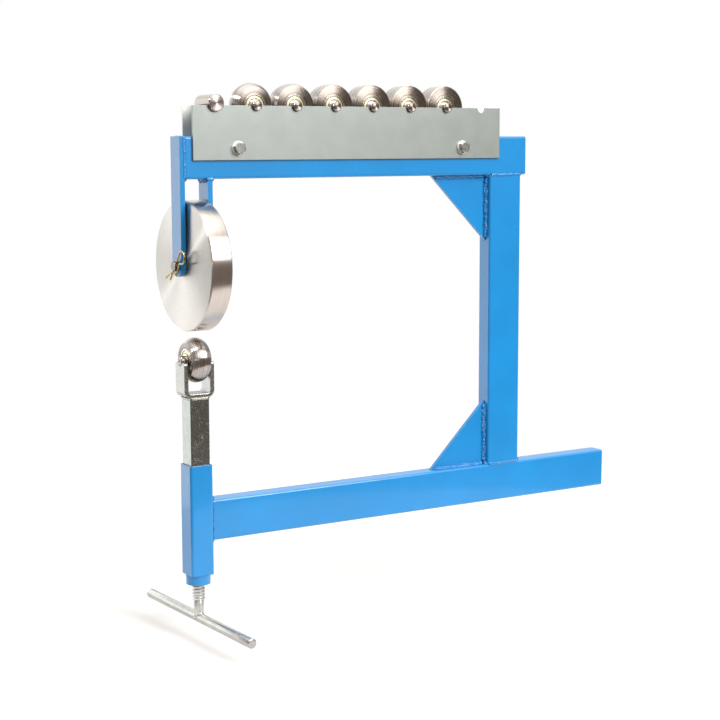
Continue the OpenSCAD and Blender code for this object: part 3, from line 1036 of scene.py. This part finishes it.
@dataclass
class WeldedFrame:
    """The C-frame: tubes, gussets, sleeve, nut and fork, with the weld beads that join them.

    The last number that a bead is laid with is the seed of its noise, so no two are alike.
    """

    nodes: tuple[str, ...] = ("lower_rail", "lower_rail_cap", "rear_post", "upper_rail", "upper_rail_cap",
                              "upper_gusset", "lower_gusset", "ram_sleeve", "screw_nut", "fork_front_leg",
                              "fork_rear_leg")
    bead: WeldBead = field(default_factory=WeldBead)
    small_bead: WeldBead = field(default_factory=lambda: WeldBead(leg=3.0, ripple=2.0))
    nut_bead: WeldBead = field(default_factory=lambda: WeldBead(leg=2.0, ripple=1.9, plumpness=0.8))
    cover: CoverBead = field(default_factory=CoverBead)
    post_inset: float = 2.2
    body: str = "frame"
    slot: str = "blue_paint"

    def build(self) -> None:
        """Dresses the frame's nodes and lays its welds."""
        for node in self.nodes:
            dress_node(node, ENAMEL)
        post = Box.of("rear_post")
        joints = {"weld_sleeve_to_rail": self.sleeve_weld(), "weld_nut_to_sleeve": [self.nut_weld()],
                  "weld_post_to_lower_rail": self.post_weld(post.low.z, 1),
                  "weld_post_to_upper_rail": self.post_weld(post.high.z, -1),
                  "weld_lower_gusset": self.gusset_weld("lower_gusset", 1),
                  "weld_upper_gusset": self.gusset_weld("upper_gusset", -1),
                  "weld_front_leg_to_rail": self.front_leg_weld(),
                  "weld_rear_leg_to_rail": self.rear_leg_weld()}
        for name, beads in joints.items():
            make_piece(name, join(beads), SHADED_WELD_ENAMEL, self.body, smooth_below=60)

    def sleeve_weld(self) -> list[Mesh]:
        """Lays the beads where the lower rail butts on the sleeve."""
        rail = Box.of("lower_rail")
        low, high = rail.low, rail.high
        beads = []
        for seed, s in enumerate(SIDES):
            y = rail.corner(s).y - s * 2 * MM
            beads.append(self.small_bead.build(Vector((low.x, y, low.z + MM)),
                                               Vector((low.x, y, high.z - MM)),
                                               BACK, s * ACROSS, seed + 0.3))
        for seed, s in enumerate((1, -1)):
            z = rail.corner(s).z
            beads.append(self.bead.build(Vector((low.x, low.y + MM, z)), Vector((low.x, high.y - MM, z)),
                                         BACK, s * UP, seed + 4.1))
        return beads

    def nut_weld(self) -> Mesh:
        """Lays the bead round the nut under the sleeve."""
        nut = Box.of("screw_nut")
        centre = Vector((nut.centre.x, nut.centre.y, Box.of("ram_sleeve").low.z))
        return self.nut_bead.round(centre, nut.size.x / 2 - 1.2 * MM, -UP, 2.7)

    def post_weld(self, z: float, up: int) -> list[Mesh]:
        """Lays the beads round one end of the post.

        Args:
            z: Height of the joint.
            up: 1 when the post rises from it, -1 when it hangs from it.

        Returns:
            The beads.
        """
        post = Box.of("rear_post")
        low, high = post.low, post.high
        inset = self.post_inset * MM
        beads = []
        for seed, s in enumerate(SIDES):
            x, y, _ = post.corner(s)
            beads.append(self.cover.build(Vector((low.x + inset, y, z)), Vector((high.x - inset, y, z)),
                                          s * ACROSS, seed + z * 7))
            beads.append(self.bead.build(Vector((x, low.y + inset, z)), Vector((x, high.y - inset, z)),
                                         s * BACK, up * UP, seed + 3 + z * 7))
        return beads

    def gusset_weld(self, node: str, up: int) -> list[Mesh]:
        """Lays the beads along both legs of a gusset, on both of its faces.

        Args:
            node: The gusset.
            up: 1 for the gusset that stands on the lower rail, -1 for the one under the upper rail.

        Returns:
            The beads.
        """
        gusset = Box.of(node)
        left, x = gusset.low.x, gusset.high.x
        z, z_end = gusset.corner(-up).z, gusset.corner(up).z
        beads = []
        for seed, s in enumerate(SIDES):
            y = gusset.corner(s).y
            beads.append(self.bead.build(Vector((left + 4 * MM, y, z)), Vector((x - 2 * MM, y, z)),
                                         s * ACROSS, up * UP, seed + 11.7 * up))
            beads.append(self.bead.build(Vector((x, y, z + up * 2 * MM)),
                                         Vector((x, y, z_end - up * 4 * MM)),
                                         s * ACROSS, -BACK, seed + 17.3 * up))
        return beads

    def front_leg_weld(self) -> list[Mesh]:
        """Lays the beads where the fork's front leg closes the upper rail's end."""
        leg, rail = Box.of("fork_front_leg"), Box.of("upper_rail")
        x, bottom, top = leg.high.x, rail.low.z, rail.high.z
        beads = []
        for seed, s in enumerate(SIDES):
            y = rail.corner(s).y
            beads.append(self.cover.build(Vector((x, y, bottom + 2 * MM)), Vector((x, y, top - MM)),
                                          s * ACROSS, seed + 21.5))
        beads.append(self.cover.build(Vector((x, rail.low.y + 2 * MM, top)),
                                      Vector((x, rail.high.y - 2 * MM, top)), UP, 25.5))
        beads.append(self.bead.build(Vector((x, leg.low.y + MM, bottom)),
                                     Vector((x, leg.high.y - MM, bottom)), BACK, -UP, 23.4))
        return beads

    def rear_leg_weld(self) -> list[Mesh]:
        """Lays the beads where the fork's rear leg meets the rail's underside."""
        leg = Box.of("fork_rear_leg")
        low, high = leg.low, leg.high
        beads = []
        for seed, s in enumerate(SIDES):
            x, y, _ = leg.corner(s)
            beads.append(self.bead.build(Vector((x, low.y + MM, high.z)), Vector((x, high.y - MM, high.z)),
                                         s * BACK, -UP, seed + 31.5))
            beads.append(self.cover.build(Vector((low.x - MM, y, high.z)), Vector((high.x + MM, y, high.z)),
                                          s * ACROSS, seed + 35.5))
        return beads


@dataclass
class UpperWheel:
    """The big flat wheel with its bearings, pin, washers and hairpin clip."""

    chamfer: float = 1.5
    soften: float = 0.3
    pocket: float = 6.0
    hub: float = 10.0
    clip_wire: float = 2.2
    clip_slope: float = 51.0
    clip_loop: float = 7.5
    clip_loop_centre: float = 20.6
    wire_points: int = 14
    wire_end: float = 0.55

    def build(self) -> None:
        """Turns the wheel, dresses its bearings and bends the clip."""
        self.turn_wheel()
        dress_bearings("upper_wheel", Axis.X)
        dress_node("wheel_washers", ZINC_FASTENER)
        dress_node("wheel_pin", DARKENED_PIN_STEEL)
        self.bend_clip()

    def turn_wheel(self) -> None:
        """Turns the wheel with softened chamfers and its two bearing pockets."""
        wheel = Box.of("upper_wheel")
        half, radius = wheel.size.x / 2 / MM, wheel.size.y / 2 / MM
        race = Box.of("upper_wheel_outer_races").size.y / 2 / MM
        c, soft = self.chamfer, self.soften
        side = [(half - self.pocket, self.hub), (half - self.pocket, race), (half - 0.4, race),
                (half, race + 0.4), (half, radius - c - soft), (half - soft * 0.3, radius - c),
                (half - c, radius - soft * 0.3), (half - c - soft, radius)]
        finish = TurnedSteel("face_turned_steel_wheel", "C6BEB7", axis=Axis.X, size=tuple(wheel.size),
                             shaded_face_colour="B3B0AA", ring_pitch=2.2, ring_height=0.008, roughness=0.31,
                             face_roughness=0.3)
        make_piece("turned_upper_wheel", lathe(mirrored(side), Axis.X, wheel.centre, 256, closed=True),
                   finish, "upper_wheel", 20, stands_for="upper_wheel")

    def bend_clip(self) -> None:
        """Bends the hairpin clip through the pin's end, with round wire ends."""
        pin = Box.of("wheel_pin").centre
        radius = self.clip_wire / 2 * MM
        plane = Box.of("hairpin_clip").high.x - radius
        slope = math.radians(self.clip_slope)
        # Straight leg through the pin, the loop, and the bowed leg that snaps over the pin
        route = [(-22, 0, 0), (-12, 0, 0), (0, 0, 0), (12, 0, 0)]
        middle = (self.clip_loop_centre, self.clip_loop)
        route += [(u, v, 0.0) for u, v in arc(middle, self.clip_loop, -90, 130, 16)]
        route += [(13.2, 10, 0), (11, 7.9, 0), (8, 7.2, 0), (4, 7.7, 0), (0, 8.3, 0), (-3, 7.8, 0.3),
                  (-6.5, 5, 1.2), (-9.6, 1.4, 2.5), (-13, -1.8, 2.6), (-19, -4.6, 2.4), (-25, -6.9, 2.2)]
        line = [Vector((plane - w * MM, pin.y - (u * math.cos(slope) + v * math.sin(slope)) * MM,
                        pin.z + (u * math.sin(slope) - v * math.cos(slope)) * MM))
                for u, v, w in self.smooth(route, 6)]
        last = len(line) - 1
        rings = []
        for i, place in enumerate(line):
            ahead = (line[min(i + 1, last)] - line[max(i - 1, 0)]).normalized()
            side = Vector((0, -ahead.z, ahead.y))
            r = radius * (self.wire_end if i in (0, last) else 1.0)
            turns = [math.tau * k / self.wire_points for k in range(self.wire_points)]
            rings.append([place + side * (r * math.cos(t)) + BACK * (r * math.sin(t)) for t in turns])
        make_piece("bent_hairpin_clip", solid(rings), YELLOW_ZINC, "frame", 50,
                   stands_for="hairpin_clip")

    @staticmethod
    def smooth(route: Sequence[Point], steps: int) -> list[Point]:
        """Runs a smooth curve through a route's points.

        Args:
            route: Points of the route.
            steps: Stretches between two points.

        Returns:
            The curve's points.
        """
        padded = [route[0]] + list(route) + [route[-1]]
        curve: list[Point] = []
        for around in zip(padded, padded[1:], padded[2:], padded[3:]):
            for t in (k / steps for k in range(steps)):
                curve.append(tuple(0.5 * (2 * b + (c - a) * t + (2 * a - 5 * b + 4 * c - d) * t ** 2
                                          + (3 * b - a - 3 * c + d) * t ** 3) for a, b, c, d in zip(*around)))
        curve.append(route[-1])
        return curve


@dataclass
class Anvil:
    """One crowned anvil with its bearings and axle."""

    name: str
    crown: float
    axis: Axis
    axle_body: str
    soften: float = 0.35
    pocket: float = 8.0
    hub: float = 10.0
    axle_chamfer: float = 1.0

    def build(self) -> None:
        """Turns the anvil and its axle, and dresses its bearings."""
        self.turn_anvil()
        self.turn_axle()
        dress_bearings(self.name, self.axis)

    def turn_anvil(self) -> None:
        """Turns the anvil with its crown, softened edges and bearing pockets."""
        box = Box.of(self.name)
        half, radius = self.axis.part(box.size) / 2 / MM, box.size.z / 2 / MM
        race = Box.of(f"{self.name}_outer_races").size.z / 2 / MM
        # Bearing pocket, collar and the groove round it
        side = [(half - self.pocket, self.hub), (half - self.pocket, race), (half - 0.5, race),
                (half - 0.1, race + 0.4), (half - 0.1, race + 1.5), (half - 0.6, race + 1.8),
                (half - 0.6, race + 2.3), (half, race + 2.8)]
        side += self.crowned_rim(half, radius, race) if self.crown > 0 else self.flat_rim(half, radius)
        finish = TurnedSteel(f"ground_anvil_steel_{self.axis.value.lower()}", "A8A29D", axis=self.axis,
                             size=tuple(box.size), shaded_face_colour="90867E", ring_pitch=1.9, ring_height=0.1,
                             roughness=0.26, face_roughness=0.32, anisotropy=0.98, ring_shade=0.28)
        make_piece(f"turned_{self.name}", lathe(mirrored(side), self.axis, box.centre, 160, closed=True),
                   finish, self.name, 22, stands_for=self.name)

    def crowned_rim(self, half: float, radius: float, race: float) -> Profile:
        """Gives the outline from the face's edge to the middle of a crowned rim.

        Args:
            half: Half of the anvil's width.
            radius: Its radius at the crown's top.
            race: Radius of its bearing.

        Returns:
            The outline, in millimetres.
        """
        edge = radius - self.crown + math.sqrt(max(0.0, self.crown ** 2 - half ** 2))
        top = math.degrees(math.asin(min(1.0, half / self.crown)))
        rim = arc((0.0, radius - self.crown), self.crown, 90 - top, 90, 14)
        rim[0] = (rim[0][0] - self.soften * 0.2, rim[0][1] + self.soften * 0.05)
        return [(half, max(edge - self.soften, race + 4.0)), *rim]

    def flat_rim(self, half: float, radius: float) -> Profile:
        """Gives the outline from the face's edge to the middle of a straight rim."""
        soft = self.soften
        return [(half, radius - 2 * soft), (half - soft * 0.6, radius - soft * 0.6),
                (half - 2 * soft, radius), (0.0, radius)]

    def turn_axle(self) -> None:
        """Turns the axle with chamfered ends and a centre-drilled dimple."""
        node = f"{self.name}_axle"
        box = Box.of(node)
        half, radius = self.axis.part(box.size) / 2 / MM, box.size.z / 2 / MM
        c = self.axle_chamfer
        side = [(half - 1.2, 0.0), (half - 0.4, 1.0), (half, 1.3), (half, radius - c - 0.2),
                (half - 0.1, radius - c), (half - c, radius - 0.1), (half - c - 0.2, radius)]
        make_piece(f"turned_{node}", lathe(mirrored(side), self.axis, box.centre, 72), AXLE[self.axis],
                   self.axle_body, 25, stands_for=node)


@dataclass
class AnvilRack:
    """The two plates bolted beside the upper rail, with the roller and the spare anvils."""

    crowns: tuple[float, ...] = (17, 37, 75, 150, 300, 0)
    head_flat: float = 6.5
    head_height: float = 5.3
    head_face: float = 0.95
    head_points: int = 72
    bolt_radius: float = 4.0
    bolt_turns: tuple[float, float] = (12.0, -8.0)
    nut_turn: float = 20.0
    thread: Thread = field(default_factory=lambda: Thread(1.25, 0.6, 0.5))

    def build(self) -> None:
        """Dresses the plates, makes the bolts and builds every spare anvil."""
        dress_node("rack_front_plate", ZINC_SHEET)
        dress_node("rack_back_plate", ZINC_SHEET_PAINTED_LIGHTER)
        dress_node("rack_washers", ZINC_WASHER)
        self.make_bolts()
        self.turn_roller()
        for number, crown in enumerate(self.crowns, start=1):
            name = f"spare_anvil_{number}"
            Anvil(name, crown, Axis.Y, f"{name}_axle").build()

    def hex_prism(self, centre: Vector, start: float, end: float, both: bool, turn: float) -> Mesh:
        """Makes a hexagon about Y whose corners are cut by a turned chamfer.

        Args:
            centre: Point on its axis, at Y = 0.
            start: Place of its flat side along Y, in metres.
            end: Place of its chamfered side along Y.
            both: True to chamfer both sides.
            turn: Turn about its axis in degrees.

        Returns:
            Vertices and faces.
        """
        flat = self.head_flat
        top = flat * self.head_face
        height = abs(end - start) / MM
        sign = 1 if end > start else -1
        slope = math.tan(math.radians(30))

        def ring(level: Callable[[float], tuple[float, float]]) -> Ring:
            """Makes one ring of the hexagon.

            Args:
                level: Gives the ring's depth and radius from the plain hexagon's radius at a point.

            Returns:
                The ring's points.
            """
            row = []
            for a in (math.tau * k / self.head_points for k in range(self.head_points)):
                local = (a + math.radians(30)) % (math.pi / 3) - math.pi / 6
                depth, r = level(flat / math.cos(local))
                t = a + math.radians(turn)
                row.append(centre + Vector((r * math.cos(t) * MM, start + sign * depth * MM,
                                            r * math.sin(t) * MM)))
            return row

        levels = [lambda r: (0.0, top), lambda r: ((r - top) * slope, r)] if both else [lambda r: (0.0, r)]
        levels += [lambda r: (height - (r - top) * slope, r), lambda r: (height, top),
                   lambda r: (height, top * 0.8)]
        return loft([[centre + start * ACROSS], *map(ring, levels), [centre + end * ACROSS]])

    def make_bolts(self) -> None:
        """Makes the hex bolts and their nuts, with a threaded end on the far side."""
        box, nut = Box.of("rack_bolts"), Box.of("rack_nuts")
        inset = self.head_flat / math.cos(math.pi / 6) * MM
        head_back = box.low.y + self.head_height * MM
        bolts, nuts = [], []
        for turn, x in zip(self.bolt_turns, (box.low.x + inset, box.high.x - inset)):
            centre = Vector((x, 0, box.centre.z))
            bolts.append(self.hex_prism(centre, head_back, box.low.y, False, turn))
            bolts.append(self.thread.cut(centre, Axis.Y, head_back, box.high.y, self.bolt_radius,
                                         plain_until=nut.low.y))
            nuts.append(self.hex_prism(centre, nut.low.y, nut.high.y, True, turn + self.nut_turn))
        for name, parts, node in (("hex_bolts", bolts, "rack_bolts"), ("hex_nuts", nuts, "rack_nuts")):
            make_piece(name, join(parts), ZINC_BOLT, "frame", 25, stands_for=node)

    def turn_roller(self) -> None:
        """Turns the plain roller."""
        box = Box.of("plain_roller")
        half, radius = box.size.y / 2 / MM, box.size.z / 2 / MM
        side = [(half, 0.0), (half, radius - 1.2), (half - 0.15, radius - 0.9), (half - 0.9, radius - 0.15),
                (half - 1.2, radius)]
        finish = TurnedSteel("bright_roller_steel", "A59C95", axis=Axis.Y, size=tuple(box.size),
                             shaded_face_colour="A59D97", ring_pitch=1.6, ring_height=0.012, roughness=0.2,
                             face_roughness=0.4)
        make_piece("turned_plain_roller", lathe(mirrored(side), Axis.Y, box.centre, 96), finish,
                   "plain_roller", 22, stands_for="plain_roller")


@dataclass
class RamAndScrew:
    """The plated ram with its yoke, the screw, the handle bar and the lower anvil."""

    crown: float = 15.0
    shank: float = 6.25
    shank_below_nut: float = 20.0
    tip_length: float = 8.0
    tip_radius: float = 5.95
    saddle_points: int = 90
    saddle_section: int = 8
    saddle_size: float = 1.15
    bar_chamfer: float = 0.8
    bead: WeldBead = field(default_factory=lambda: WeldBead(leg=2.8, ripple=1.9, roughness=0.22))
    thread: Thread = field(default_factory=lambda: Thread(4.0, 2.0, 0.75, segments=72, lead=2.5))

    def build(self) -> None:
        """Dresses the ram and yoke, cuts the screw, turns the bar and builds the lower anvil."""
        for node in ("ram_tube", "ram_thrust_plug"):
            dress_node(node, CHROME_RAM)
        dress_node("anvil_yoke", YOKE)
        self.yoke_weld()
        self.cut_screw()
        self.turn_bar()
        Anvil("lower_anvil", self.crown, Axis.X, "ram").build()

    def yoke_weld(self) -> None:
        """Lays the plated bead between the ram and the yoke."""
        ram = Box.of("ram_tube")
        low, high = ram.low, ram.high
        beads = []
        for seed, s in enumerate(SIDES):
            x, y = ram.corner(s).x - s * 0.5 * MM, ram.corner(s).y - s * 1.2 * MM
            beads.append(self.bead.build(Vector((x, low.y + MM, high.z)), Vector((x, high.y - MM, high.z)),
                                         s * BACK, -UP, seed + 41.0))
            beads.append(self.bead.build(Vector((low.x + MM, y, high.z)), Vector((high.x - MM, y, high.z)),
                                         s * ACROSS, -UP, seed + 47.0))
        make_piece("weld_yoke_to_ram", join(beads), PLATED_WELD, "ram", 60)

    def cut_screw(self) -> None:
        """Cuts the screw's thread, and adds its shank, its tip and the weld on the handle bar."""
        screw, bar = Box.of("jack_screw"), Box.of("handle_bar")
        centre = screw.centre
        thread_low = Box.of("screw_nut").low.z - self.shank_below_nut * MM
        tip = screw.high.z - self.tip_length * MM
        # Heights above the screw's middle, in millimetres
        heights = (bar.centre.z, thread_low, tip, screw.high.z)
        bar_z, low, shoulder, top = ((z - centre.z) / MM for z in heights)
        s = self.shank
        thread = self.thread.cut(centre, Axis.Z, thread_low, tip, screw.size.x / 2 / MM)
        shank = lathe([(bar_z, 0.0), (bar_z, s - 0.6), (bar_z + 5, s), (low - 0.2, s), (low + 1, s - 0.9),
                       (low + 1, 0.0)], Axis.Z, centre, 72)
        nose = lathe([(shoulder - 1, 0.0), (shoulder - 1, self.tip_radius), (top - 0.6, self.tip_radius),
                      (top, 5.3), (top, 0.0)], Axis.Z, centre, 48)
        parts = join([thread, shank, nose, self.saddle_weld(centre, bar.centre.z, bar.size.z / 2 / MM)])
        make_piece("cut_jack_screw", parts, LIGHTENED_SCREW_PLATE, "screw", 40,
                   stands_for="jack_screw")

    def saddle_weld(self, centre: Vector, bar_z: float, bar_r: float) -> Mesh:
        """Lays the bead where the shank sits on the round bar.

        Args:
            centre: Point on the screw's axis.
            bar_z: Height of the bar's axis in metres.
            bar_r: Its radius in millimetres.

        Returns:
            Vertices and faces.
        """
        rings = []
        for a in (math.tau * i / self.saddle_points for i in range(self.saddle_points)):
            out = Vector((math.cos(a), math.sin(a), 0))
            height = math.sqrt(max(0.0, bar_r ** 2 - min(abs(self.shank * out.x), bar_r) ** 2))
            thick = self.saddle_size * (1 + 0.18 * lump(out.x * 2.2, out.y * 2.2, 5.0))
            ring = []
            for t in (math.tau * k / self.saddle_section for k in range(self.saddle_section)):
                reach = self.shank - 0.2 + thick * math.cos(t)
                place = Vector((centre.x, centre.y, bar_z)) + out * (reach * MM)
                ring.append(place + UP * ((height + 0.2 + thick * math.sin(t)) * MM))
            rings.append(ring)
        return loft(rings, closed=True, turned=True)

    def turn_bar(self) -> None:
        """Turns the handle bar with softly chamfered ends, and lays it askew like the CAD one."""
        bar = Box.of("handle_bar")
        radius = bar.size.z / 2 / MM
        width, reach = bar.size.x / MM - 2 * radius, bar.size.y / MM
        half, turn = math.hypot(width, reach) / 2, math.atan2(width, reach)
        c = self.bar_chamfer
        side = [(half, 0.0), (half, radius - 1.6 * c), (half - 0.15 * c, radius - 1.2 * c),
                (half - 1.1 * c, radius - 0.15 * c), (half - 1.5 * c, radius), (0.5 * half, radius),
                (0.0, radius)]
        points, faces = lathe(mirrored(side), Axis.Y, Vector((0, 0, 0)), 96)
        askew = Quaternion(UP, turn)
        make_piece("turned_handle_bar", ([askew @ p + bar.centre for p in points], faces), HANDLE_PLATE,
                   "screw", 25, stands_for="handle_bar")


# ---------------------------------------------------------------- studio


@dataclass(frozen=True)
class SoftBox:
    """Square soft light that looks at the object. Its place and size are in metres."""

    name: str
    place: Point
    size: float
    power: float
    lights_paint: bool = True

    def hang(self, target: Vector) -> None:
        """Hangs the light.

        Args:
            target: Point that it looks at.
        """
        light = bpy.data.lights.new(self.name, "AREA")
        light.shape = "SQUARE"
        light.size = self.size
        light.energy = self.power
        lamp = bpy.data.objects.new(self.name, light)
        lamp.visible_diffuse = self.lights_paint
        lamp.location = self.place
        lamp.rotation_euler = (target - Vector(self.place)).to_track_quat("-Z", "Y").to_euler()
        bpy.context.scene.collection.objects.link(lamp)


@dataclass
class Studio:
    """White sweep, soft boxes and the camera. Angles are in degrees and lengths in metres."""

    azimuth: float = 31.63
    elevation: float = 7.59
    roll: float = -0.16
    distance: float = 2.0546
    aim: Point = (-0.0282, 0.0, 0.2036)
    lens: float = 80.89
    sensor: float = 36.0
    floor_gap: float = 0.0212
    floor_radius: float = 0.85
    floor_centre: Point = (0.1, 0.18, 0.0)
    floor_points: int = 128
    floor_colour: str = "D8D5D2"
    sweep_glow: float = 2.0
    corner_dim: float = 0.8
    side_glow: float = 0.4
    top_glow: float = 2.4
    room_glow: float = 0.25
    room_colour: str = "FFEADB"
    # The key from the right, two weak fills from the left, and a small box that only metal mirrors,
    # for the streak on the wheel
    boxes: tuple[SoftBox, ...] = (SoftBox("key_box", (0.9, -2.6, 1.9), 1.9, 134.0),
                                  SoftBox("side_box", (-2.6, -1.7, 0.5), 0.45, 3.0),
                                  SoftBox("fill_box", (-1.4, -2.5, 1.75), 1.3, 12.0),
                                  SoftBox("streak_box", (-2.1, -0.15, 1.9), 0.24, 42.0, lights_paint=False))

    def build(self) -> None:
        """Sets up the floor, the surroundings, the lights and the camera."""
        self.lay_floor()
        self.light_world()
        for box in self.boxes:
            box.hang(Vector(self.aim))
        self.place_camera()
        bpy.context.scene.view_settings.view_transform = "Standard"

    def lay_floor(self) -> None:
        """Lays a round pale floor just under the handle's lowest travel."""
        centre = Vector(self.floor_centre) + UP * (CAD_BOX[0][2] - self.floor_gap)
        rim = ring_about(Axis.Z, centre, 0.0, [self.floor_radius] * self.floor_points)
        mesh = bpy.data.meshes.new("studio_floor")
        mesh.from_pydata([tuple(p) for p in rim], [], [list(range(len(rim)))])
        paper = bpy.data.materials.new("matt_paper_floor")
        paper.use_nodes = True
        feed(paper.node_tree, paper.node_tree.nodes["Principled BSDF"],
             {"Base Color": hex_colour(self.floor_colour), "Roughness": 0.9})
        mesh.materials.append(paper)
        floor = bpy.data.objects.new("studio_floor", mesh)
        bpy.context.scene.collection.objects.link(floor)

    def light_world(self) -> None:
        """Surrounds the object with a white sweep behind and a darker room in front.

        The camera sees plain white. Reflections see a bright wall towards +Y, brighter still overhead, and
        a dim warm room towards -Y, which gives polished metal its dark bands.
        """
        world = bpy.data.worlds.new("studio")
        bpy.context.scene.world = world
        world.use_nodes = True
        tree = world.node_tree
        tree.nodes.clear()
        white = hex_colour("FFFFFF")
        place = add_node(tree, "ShaderNodeTexCoord").outputs["Generated"]
        parts = add_node(tree, "ShaderNodeSeparateXYZ", {0: place}).outputs

        def fade(part: str, start: float, end: float) -> Socket:
            """Rises from 0 to 1 between two values of one part of the direction."""
            return remap(tree, parts[part], (start, end), curve="SMOOTHSTEP")

        front = fade("Y", -0.45, 0.05)
        over = fade("Z", 0.56, 0.93)
        lit = maths(tree, "MULTIPLY", fade("Y", 0.5, 0.78), fade("Z", 0.8, 0.25))
        # A dimmer corner low on the right keeps the rails' tops blue and outlines the anvils
        corner = maths(tree, "MULTIPLY", fade("X", 0.15, 0.4), fade("Z", 0.4, 0.2))
        wall = maths(tree, "MULTIPLY", lit, maths(tree, "MULTIPLY_ADD", corner, -self.corner_dim, 1.0))
        sides = remap(tree, front, after=(self.room_glow, self.side_glow))
        power = mix(tree, over, mix(tree, wall, sides, self.sweep_glow), self.top_glow)
        warmth = maths(tree, "MAXIMUM", front, over)
        room = mix(tree, warmth, hex_colour(self.room_colour), white, colour=True)
        camera = add_node(tree, "ShaderNodeLightPath").outputs["Is Camera Ray"]
        glow = add_node(tree, "ShaderNodeBackground", {"Color": mix(tree, camera, room, white, colour=True),
                                                       "Strength": mix(tree, camera, power, 1.0)})
        add_node(tree, "ShaderNodeOutputWorld", {"Surface": glow.outputs[0]})

    def place_camera(self) -> None:
        """Places the camera at its azimuth and elevation, looking at the aim point."""
        turn, dip = math.radians(self.azimuth), math.radians(self.elevation)
        forward = Vector((math.sin(turn) * math.cos(dip), math.cos(turn) * math.cos(dip), -math.sin(dip)))
        data = bpy.data.cameras.new("camera")
        data.lens = self.lens
        data.sensor_width = self.sensor
        data.dof.use_dof = False
        camera = bpy.data.objects.new("camera", data)
        camera.location = Vector(self.aim) - forward * self.distance
        camera.rotation_mode = "QUATERNION"
        level = forward.to_track_quat("-Z", "Y")
        camera.rotation_quaternion = level @ Quaternion((0, 0, 1), math.radians(self.roll))
        bpy.context.scene.collection.objects.link(camera)
        bpy.context.scene.camera = camera


def main() -> None:
    """Builds the studio and every sub-assembly in order."""
    Studio().build()
    for part in (WeldedFrame(), UpperWheel(), RamAndScrew(), AnvilRack()):
        part.build()
        log.info("%s done", type(part).__name__)


if __name__ == "__main__":
    logging.basicConfig(level=logging.INFO)
    main()
